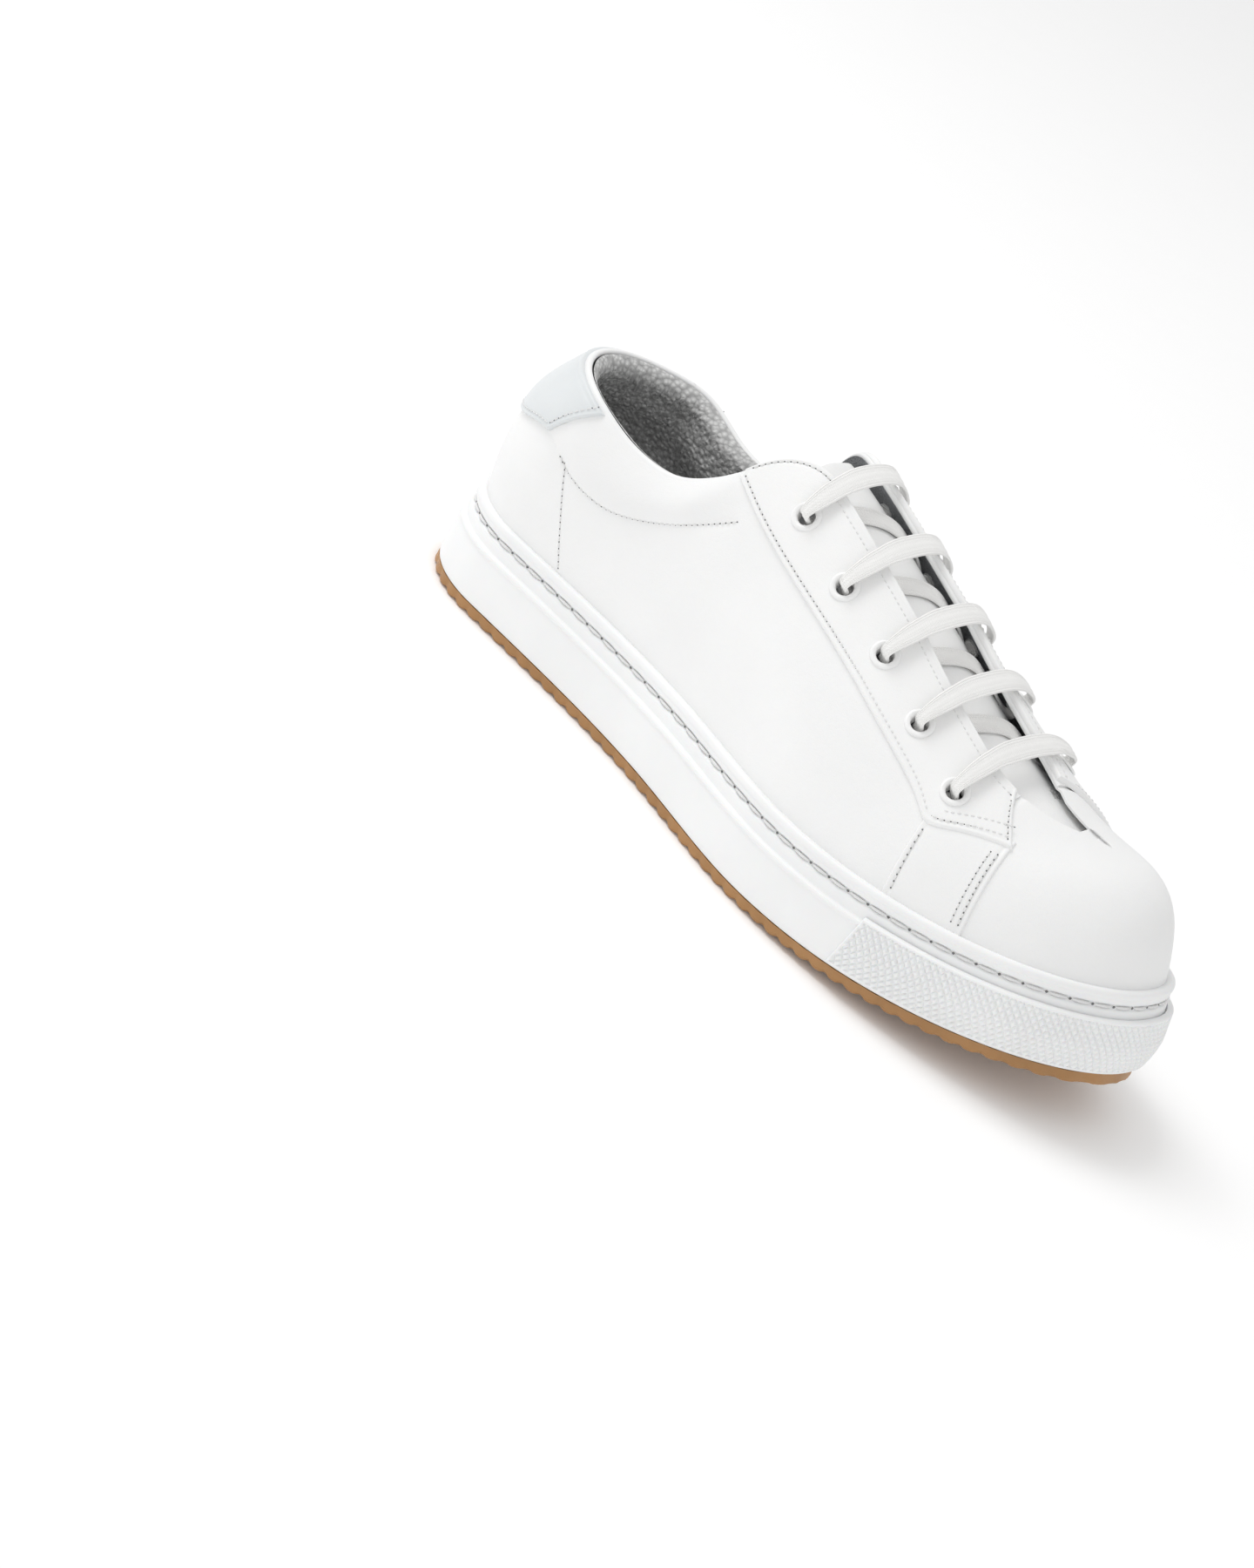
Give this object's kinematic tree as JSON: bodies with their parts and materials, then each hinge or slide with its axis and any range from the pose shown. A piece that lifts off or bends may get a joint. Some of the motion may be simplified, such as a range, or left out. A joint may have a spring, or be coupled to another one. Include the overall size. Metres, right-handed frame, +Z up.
{
  "type": "court shoe",
  "caption": "Low lace-up court shoe for the right foot: plain leather upper, padded collar, stitched cup sole with ribbed toe band and zigzag-tread gum outsole.",
  "frame": {"origin": "on the ground under the middle of the shoe's length, on the flat waist pad of the tread", "axes": "+X from heel to toe, +Y towards the inner side of the foot, +Z up"},
  "size_m": [0.3, 0.1068, 0.118],
  "materials": {
    "clear_tip": "glossy film tip",
    "foam": "open-cell padding foam",
    "grey_textile": "looped grey lining textile",
    "white_rubber": "smooth moulded white rubber",
    "painted_eyelet": "white stoved paint",
    "white_leather": "smooth full-grain white leather, fine pores",
    "black_textile": "black footbed cover",
    "board": "pressed fibre board",
    "grey_leather": "smooth pale grey leather with a faint sheen",
    "lace_cotton": "flat woven cotton",
    "gum_rubber": "semi-matte gum rubber, slightly translucent",
    "thread": "bonded white thread"
  },
  "bodies": {
    "shoe": {"aglet_lateral": "clear_tip", "aglet_medial": "clear_tip", "collar_foam": "foam", "collar_lining": "grey_textile", "cupsole": "white_rubber", "eyelet_lateral_1": "painted_eyelet", "eyelet_lateral_2": "painted_eyelet", "eyelet_lateral_3": "painted_eyelet", "eyelet_lateral_4": "painted_eyelet", "eyelet_lateral_5": "painted_eyelet", "eyelet_medial_1": "painted_eyelet", "eyelet_medial_2": "painted_eyelet", "eyelet_medial_3": "painted_eyelet", "eyelet_medial_4": "painted_eyelet", "eyelet_medial_5": "painted_eyelet", "eyestay_lateral": "white_leather", "eyestay_medial": "white_leather", "heel_counter": "board", "heel_panel": "white_leather", "heel_tab": "grey_leather", "lace": "lace_cotton", "lasting_board": "board", "midsole_foam": "foam", "outsole_gum": "gum_rubber", "quarter_lateral": "white_leather", "quarter_lining_lateral": "grey_textile", "quarter_lining_medial": "grey_textile", "quarter_medial": "white_leather", "sole_stitch_thread": "thread", "toe_bumper": "white_rubber", "toe_puff": "board", "vamp": "white_leather", "vamp_lining": "grey_textile", "wing_lateral": "white_leather", "wing_medial": "white_leather"},
    "tongue": {"tongue_foam": "foam", "tongue_leather": "white_leather", "tongue_lining": "grey_textile"},
    "footbed": {"footbed_cover": "black_textile", "footbed_foam": "black_textile"}
  },
  "joints": [
    {"name": "tongue_hinge", "type": "hinge", "parent": "shoe", "child": "tongue", "pos_m": [0.09, 0.007, 0.064], "axis": [0, 1, 0], "range_deg": [-9, 0]},
    {"name": "footbed_lift", "type": "hinge", "parent": "shoe", "child": "footbed", "pos_m": [0.134, 0.006, 0.0293], "axis": [0, 1, 0], "range_deg": [0, 5]}
  ]
}
